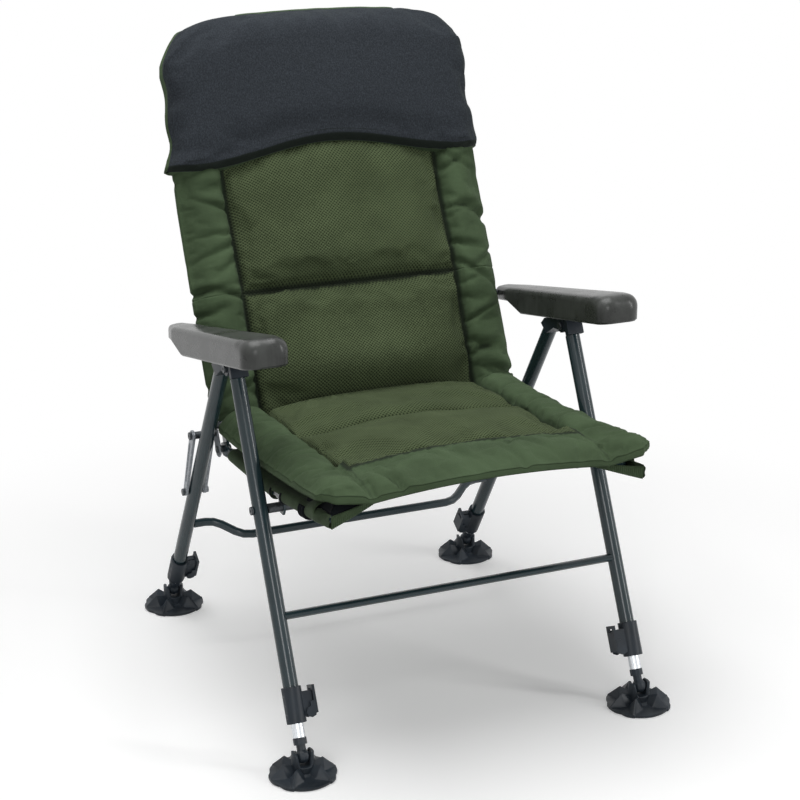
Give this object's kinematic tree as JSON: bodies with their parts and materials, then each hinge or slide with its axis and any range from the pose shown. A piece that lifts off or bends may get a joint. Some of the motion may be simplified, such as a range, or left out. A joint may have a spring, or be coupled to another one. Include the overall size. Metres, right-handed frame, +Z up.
{
  "type": "folding fishing chair",
  "caption": "Folding high-backed fishing chair with a padded mesh seat and back, padded headrest, hollow armrests, crossed tube legs, telescopic legs and tilting mud feet.",
  "frame": {"origin": "on the ground in the middle between the four feet", "axes": "+Z up, -Y to the front, +X to the right of someone who looks at the chair from the front"},
  "size_m": [0.723, 0.8148, 1.0986],
  "materials": {
    "powder_coat": "dark slate powder coat, glossy, fine speckle",
    "bright_tube": "bright drawn tube",
    "black_plastic": "satin moulded nylon",
    "arm_plastic": "satin moulded plastic, faint drag marks",
    "grey_plate": "pressed steel, grey coat",
    "dark_steel": "black zinc",
    "green_cloth": "plain woven polyester, dark green",
    "mesh_cloth": "olive spacer mesh over foam",
    "head_cloth": "brushed charcoal polyester"
  },
  "bodies": {
    "front_frame": {"front_leg_left": "powder_coat", "front_leg_right": "powder_coat", "front_hinge_block_left": "black_plastic", "front_hinge_block_right": "black_plastic", "leg_hinge_bolt_left": "dark_steel", "leg_hinge_bolt_right": "dark_steel", "seat_pivot_left": "dark_steel", "seat_pivot_right": "dark_steel", "front_clamp_left": "black_plastic", "front_clamp_right": "black_plastic", "front_crossbar": "powder_coat"},
    "seat": {"seat_frame": "powder_coat", "seat_sling": "green_cloth", "seat_cushion_front": "mesh_cloth", "seat_cushion_rear": "mesh_cloth", "seat_hinge_bolt_left": "dark_steel", "seat_hinge_bolt_right": "dark_steel"},
    "hinge_plates": {"hinge_plate_left": "grey_plate", "hinge_plate_right": "grey_plate", "link_top_bolt_left": "dark_steel", "link_top_bolt_right": "dark_steel"},
    "back": {"back_frame": "powder_coat", "back_sling": "green_cloth", "back_cushion_lower": "mesh_cloth", "back_cushion_upper": "mesh_cloth", "headrest": "head_cloth"},
    "armrest_pivots": {"armrest_pivot_bolt_left": "dark_steel", "armrest_pivot_bolt_right": "dark_steel"},
    "armrests": {"armrest_left": "arm_plastic", "armrest_right": "arm_plastic"},
    "rear_legs": {"rear_leg_left": "powder_coat", "rear_leg_right": "powder_coat", "rear_hinge_fork_left": "black_plastic", "rear_hinge_fork_right": "black_plastic", "rear_clamp_left": "black_plastic", "rear_clamp_right": "black_plastic", "rear_crossbar": "powder_coat"},
    "links": {"link_inner_left": "grey_plate", "link_inner_right": "grey_plate", "link_outer_left": "grey_plate", "link_outer_right": "grey_plate", "link_foot_bolt_left": "dark_steel", "link_foot_bolt_right": "dark_steel"},
    "front_left_inner_leg": {"front_inner_leg_left": "bright_tube"},
    "front_left_ball_stem": {"front_ball_stem_left": "black_plastic"},
    "front_left_foot": {"front_foot_left": "black_plastic"},
    "front_left_clamp_lever": {"front_clamp_lever_left": "black_plastic"},
    "front_right_inner_leg": {"front_inner_leg_right": "bright_tube"},
    "front_right_ball_stem": {"front_ball_stem_right": "black_plastic"},
    "front_right_foot": {"front_foot_right": "black_plastic"},
    "front_right_clamp_lever": {"front_clamp_lever_right": "black_plastic"},
    "rear_left_inner_leg": {"rear_inner_leg_left": "bright_tube"},
    "rear_left_ball_stem": {"rear_ball_stem_left": "black_plastic"},
    "rear_left_foot": {"rear_foot_left": "black_plastic"},
    "rear_left_clamp_lever": {"rear_clamp_lever_left": "black_plastic"},
    "rear_right_inner_leg": {"rear_inner_leg_right": "bright_tube"},
    "rear_right_ball_stem": {"rear_ball_stem_right": "black_plastic"},
    "rear_right_foot": {"rear_foot_right": "black_plastic"},
    "rear_right_clamp_lever": {"rear_clamp_lever_right": "black_plastic"}
  },
  "joints": [
    {"name": "fold", "type": "hinge", "parent": "front_frame", "child": "seat", "pos_m": [0, -0.17623, 0.39], "axis": [-1, 0, 0], "range_deg": [0, 60], "deforming": ["seat_cushion_rear", "back_cushion_lower"]},
    {"name": "hinge_plate_turn", "type": "hinge", "parent": "seat", "child": "hinge_plates", "pos_m": [0, 0.114, 0.391], "axis": [-1, 0, 0], "range_deg": [-70, 0]},
    {"name": "recline", "type": "hinge", "parent": "hinge_plates", "child": "back", "pos_m": [0, 0.114, 0.391], "axis": [-1, 0, 0], "range_deg": [-6, 25]},
    {"name": "armrest_swing", "type": "hinge", "parent": "back", "child": "armrest_pivots", "pos_m": [0, 0.20219, 0.588], "axis": [-1, 0, 0], "range_deg": [-20, 5]},
    {"name": "armrest_fold", "type": "hinge", "parent": "armrest_pivots", "child": "armrests", "pos_m": [0, 0.20219, 0.588], "axis": [-1, 0, 0], "range_deg": [0, 78]},
    {"name": "rear_leg_fold", "type": "hinge", "parent": "front_frame", "child": "rear_legs", "pos_m": [0, -0.06357, 0.597], "axis": [-1, 0, 0], "range_deg": [0, 52]},
    {"name": "link_turn", "type": "hinge", "parent": "hinge_plates", "child": "links", "pos_m": [0, 0.126, 0.418], "axis": [-1, 0, 0], "range_deg": [0, 145]},
    {"name": "front_left_leg_length", "type": "slide", "parent": "front_frame", "child": "front_left_inner_leg", "axis": [0, -0.4478, -0.8942], "range_m": [-0.02, 0.15]},
    {"name": "front_left_foot_swivel", "type": "hinge", "parent": "front_left_inner_leg", "child": "front_left_ball_stem", "pos_m": [-0.306, -0.354, 0.035], "axis": [0, 0.4478, 0.8942], "continuous": true},
    {"name": "front_left_foot_tilt", "type": "hinge", "parent": "front_left_ball_stem", "child": "front_left_foot", "pos_m": [-0.306, -0.354, 0.035], "axis": [1, 0, 0], "range_deg": [-50, 11]},
    {"name": "front_left_clamp_release", "type": "hinge", "parent": "front_frame", "child": "front_left_clamp_lever", "pos_m": [-0.282, -0.32445, 0.09401], "axis": [0, 0.8942, -0.4478], "range_deg": [0, 95]},
    {"name": "front_right_leg_length", "type": "slide", "parent": "front_frame", "child": "front_right_inner_leg", "axis": [0, -0.4478, -0.8942], "range_m": [-0.02, 0.15]},
    {"name": "front_right_foot_swivel", "type": "hinge", "parent": "front_right_inner_leg", "child": "front_right_ball_stem", "pos_m": [0.306, -0.354, 0.035], "axis": [0, 0.4478, 0.8942], "continuous": true},
    {"name": "front_right_foot_tilt", "type": "hinge", "parent": "front_right_ball_stem", "child": "front_right_foot", "pos_m": [0.306, -0.354, 0.035], "axis": [1, 0, 0], "range_deg": [-50, 11]},
    {"name": "front_right_clamp_release", "type": "hinge", "parent": "front_frame", "child": "front_right_clamp_lever", "pos_m": [0.282, -0.32445, 0.09401], "axis": [0, -0.8942, 0.4478], "range_deg": [0, 95]},
    {"name": "rear_left_leg_length", "type": "slide", "parent": "rear_legs", "child": "rear_left_inner_leg", "axis": [0, 0.5373, -0.8434], "range_m": [-0.007, 0.15]},
    {"name": "rear_left_foot_swivel", "type": "hinge", "parent": "rear_left_inner_leg", "child": "rear_left_ball_stem", "pos_m": [-0.306, 0.345, 0.035], "axis": [0, -0.5373, 0.8434], "continuous": true},
    {"name": "rear_left_foot_tilt", "type": "hinge", "parent": "rear_left_ball_stem", "child": "rear_left_foot", "pos_m": [-0.306, 0.345, 0.035], "axis": [1, 0, 0], "range_deg": [-5, 55]},
    {"name": "rear_left_clamp_release", "type": "hinge", "parent": "rear_legs", "child": "rear_left_clamp_lever", "pos_m": [-0.282, 0.31706, 0.07886], "axis": [0, 0.8434, 0.5373], "range_deg": [0, 95]},
    {"name": "rear_right_leg_length", "type": "slide", "parent": "rear_legs", "child": "rear_right_inner_leg", "axis": [0, 0.5373, -0.8434], "range_m": [-0.007, 0.15]},
    {"name": "rear_right_foot_swivel", "type": "hinge", "parent": "rear_right_inner_leg", "child": "rear_right_ball_stem", "pos_m": [0.306, 0.345, 0.035], "axis": [0, -0.5373, 0.8434], "continuous": true},
    {"name": "rear_right_foot_tilt", "type": "hinge", "parent": "rear_right_ball_stem", "child": "rear_right_foot", "pos_m": [0.306, 0.345, 0.035], "axis": [1, 0, 0], "range_deg": [-5, 55]},
    {"name": "rear_right_clamp_release", "type": "hinge", "parent": "rear_legs", "child": "rear_right_clamp_lever", "pos_m": [0.282, 0.31706, 0.07886], "axis": [0, -0.8434, -0.5373], "range_deg": [0, 95]}
  ],
  "couplings": [
    {"joint": "hinge_plate_turn", "follows": "fold", "ratio": -1.1435},
    {"joint": "rear_leg_fold", "follows": "fold", "ratio": 0.8559},
    {"joint": "armrest_fold", "follows": "fold", "ratio": 1.2775},
    {"joint": "link_turn", "follows": "fold", "ratio": 2.3948},
    {"joint": "armrest_swing", "follows": "recline", "ratio": -0.76}
  ]
}
